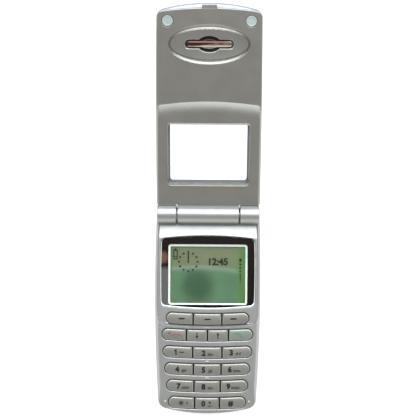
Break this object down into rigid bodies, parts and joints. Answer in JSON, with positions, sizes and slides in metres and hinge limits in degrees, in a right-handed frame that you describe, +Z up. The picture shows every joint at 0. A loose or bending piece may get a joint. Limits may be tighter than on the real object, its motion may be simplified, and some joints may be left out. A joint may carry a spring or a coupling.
{
  "type": "clamshell mobile phone",
  "caption": "Clamshell mobile phone, open on its back: lid with window and oval earpiece, hinge barrel, display lens, arched key rows, battery pack with latch, side headset socket.",
  "frame": {"origin": "centre of the flat back of the base, which the phone lies on", "axes": "+Y from the keypad towards the lid's tip, +X to the right of someone reading the keys, +Z up out of the keypad"},
  "size_m": [0.0466, 0.1732, 0.0418],
  "materials": {
    "silver_housing": "satin silver paint",
    "silver_panel": "satin warm silver paint",
    "pale_silver_cover": "satin pale silver paint",
    "key_cap": "lacquered silver plastic",
    "clear_lens": "clear hard-coated acrylic",
    "dark_mirror_mask": "dark mirror print",
    "white_frame": "white plastic",
    "green_display": "green liquid crystal panel",
    "milky_guide": "milky acrylic",
    "silicone_mat": "translucent silicone",
    "gold_contact": "gold plated spring metal",
    "board_laminate": "green solder mask",
    "tinned_can": "tinned sheet",
    "dense_metal": "sintered metal",
    "dark_plastic": "moulded black plastic",
    "white_card": "white card stock",
    "cell_can": "sleeved aluminium can",
    "screw_steel": "zinc plated",
    "bright_chrome": "mirror plating",
    "black_foam": "closed-cell foam",
    "pale_rubber": "pale grey-green rubber",
    "flex_film": "amber film"
  },
  "bodies": {
    "base": {"front_housing": "silver_housing", "rear_housing": "silver_housing", "display_lens": "clear_lens", "display_mask": "dark_mirror_mask", "lcd_frame": "white_frame", "lcd_panel": "green_display", "backlight_guide": "milky_guide", "lcd_holder": "white_frame", "keypad_mat": "silicone_mat", "dome_sheet": "gold_contact", "main_board": "board_laminate", "baseband_shield": "tinned_can", "rf_shield": "tinned_can", "internal_antenna": "dark_plastic", "microphone": "tinned_can", "ringer_speaker": "dark_plastic", "vibration_motor": "tinned_can", "system_connector": "dark_plastic", "headset_socket": "dark_plastic", "sim_holder": "tinned_can", "sim_card": "white_card", "battery_contacts": "gold_contact", "battery_case": "silver_housing", "battery_cell": "cell_can", "backup_cell": "tinned_can", "housing_screws": "screw_steel", "hinge_shaft": "screw_steel", "hinge_sleeve": "screw_steel"},
    "lid": {"lid_inner_cover": "silver_panel", "lid_outer_cover": "pale_silver_cover", "window_lens": "clear_lens", "earpiece_speaker": "dark_plastic", "earpiece_grille": "bright_chrome", "earpiece_gasket": "black_foam", "lid_bumpers": "pale_rubber", "lid_screws": "screw_steel", "lid_magnet": "dense_metal", "hinge_cartridge": "screw_steel", "lid_flex": "flex_film"},
    "key_soft_left": {"key_soft_left": "key_cap"},
    "key_soft_middle": {"key_soft_middle": "key_cap"},
    "key_soft_right": {"key_soft_right": "key_cap"},
    "key_end": {"key_end": "key_cap"},
    "key_down": {"key_down": "key_cap"},
    "key_up": {"key_up": "key_cap"},
    "key_send": {"key_send": "key_cap"},
    "key_1": {"key_1": "key_cap"},
    "key_2": {"key_2": "key_cap"},
    "key_3": {"key_3": "key_cap"},
    "key_4": {"key_4": "key_cap"},
    "key_5": {"key_5": "key_cap"},
    "key_6": {"key_6": "key_cap"},
    "key_7": {"key_7": "key_cap"},
    "key_8": {"key_8": "key_cap"},
    "key_9": {"key_9": "key_cap"},
    "key_star": {"key_star": "key_cap"},
    "key_0": {"key_0": "key_cap"},
    "key_hash": {"key_hash": "key_cap"},
    "battery_latch": {"battery_latch": "dark_plastic"},
    "vibration_weight": {"vibration_weight": "dense_metal"}
  },
  "joints": [
    {"name": "lid_hinge", "type": "hinge", "parent": "base", "child": "lid", "pos_m": [0, 0.042, 0.0155], "axis": [1, 0, 0], "range_deg": [0, 162]},
    {"name": "press_key_soft_left", "type": "slide", "parent": "base", "child": "key_soft_left", "axis": [0, 0, -1], "range_m": [0, 0.0004], "stiffness_N_per_m": 300},
    {"name": "press_key_soft_middle", "type": "slide", "parent": "base", "child": "key_soft_middle", "axis": [0, 0, -1], "range_m": [0, 0.0004], "stiffness_N_per_m": 300},
    {"name": "press_key_soft_right", "type": "slide", "parent": "base", "child": "key_soft_right", "axis": [0, 0, -1], "range_m": [0, 0.0004], "stiffness_N_per_m": 300},
    {"name": "press_key_end", "type": "slide", "parent": "base", "child": "key_end", "axis": [0, 0, -1], "range_m": [0, 0.0004], "stiffness_N_per_m": 300},
    {"name": "press_key_down", "type": "slide", "parent": "base", "child": "key_down", "axis": [0, 0, -1], "range_m": [0, 0.0004], "stiffness_N_per_m": 300},
    {"name": "press_key_up", "type": "slide", "parent": "base", "child": "key_up", "axis": [0, 0, -1], "range_m": [0, 0.0004], "stiffness_N_per_m": 300},
    {"name": "press_key_send", "type": "slide", "parent": "base", "child": "key_send", "axis": [0, 0, -1], "range_m": [0, 0.0004], "stiffness_N_per_m": 300},
    {"name": "press_key_1", "type": "slide", "parent": "base", "child": "key_1", "axis": [0, 0, -1], "range_m": [0, 0.0004], "stiffness_N_per_m": 300},
    {"name": "press_key_2", "type": "slide", "parent": "base", "child": "key_2", "axis": [0, 0, -1], "range_m": [0, 0.0004], "stiffness_N_per_m": 300},
    {"name": "press_key_3", "type": "slide", "parent": "base", "child": "key_3", "axis": [0, 0, -1], "range_m": [0, 0.0004], "stiffness_N_per_m": 300},
    {"name": "press_key_4", "type": "slide", "parent": "base", "child": "key_4", "axis": [0, 0, -1], "range_m": [0, 0.0004], "stiffness_N_per_m": 300},
    {"name": "press_key_5", "type": "slide", "parent": "base", "child": "key_5", "axis": [0, 0, -1], "range_m": [0, 0.0004], "stiffness_N_per_m": 300},
    {"name": "press_key_6", "type": "slide", "parent": "base", "child": "key_6", "axis": [0, 0, -1], "range_m": [0, 0.0004], "stiffness_N_per_m": 300},
    {"name": "press_key_7", "type": "slide", "parent": "base", "child": "key_7", "axis": [0, 0, -1], "range_m": [0, 0.0004], "stiffness_N_per_m": 300},
    {"name": "press_key_8", "type": "slide", "parent": "base", "child": "key_8", "axis": [0, 0, -1], "range_m": [0, 0.0004], "stiffness_N_per_m": 300},
    {"name": "press_key_9", "type": "slide", "parent": "base", "child": "key_9", "axis": [0, 0, -1], "range_m": [0, 0.0004], "stiffness_N_per_m": 300},
    {"name": "press_key_star", "type": "slide", "parent": "base", "child": "key_star", "axis": [0, 0, -1], "range_m": [0, 0.0004], "stiffness_N_per_m": 300},
    {"name": "press_key_0", "type": "slide", "parent": "base", "child": "key_0", "axis": [0, 0, -1], "range_m": [0, 0.0004], "stiffness_N_per_m": 300},
    {"name": "press_key_hash", "type": "slide", "parent": "base", "child": "key_hash", "axis": [0, 0, -1], "range_m": [0, 0.0004], "stiffness_N_per_m": 300},
    {"name": "latch_slide", "type": "slide", "parent": "base", "child": "battery_latch", "axis": [0, 1, 0], "range_m": [0, 0.0012], "stiffness_N_per_m": 200},
    {"name": "weight_spin", "type": "hinge", "parent": "base", "child": "vibration_weight", "pos_m": [0.0127, 0.0225, 0.0034], "axis": [1, 0, 0], "continuous": true}
  ]
}
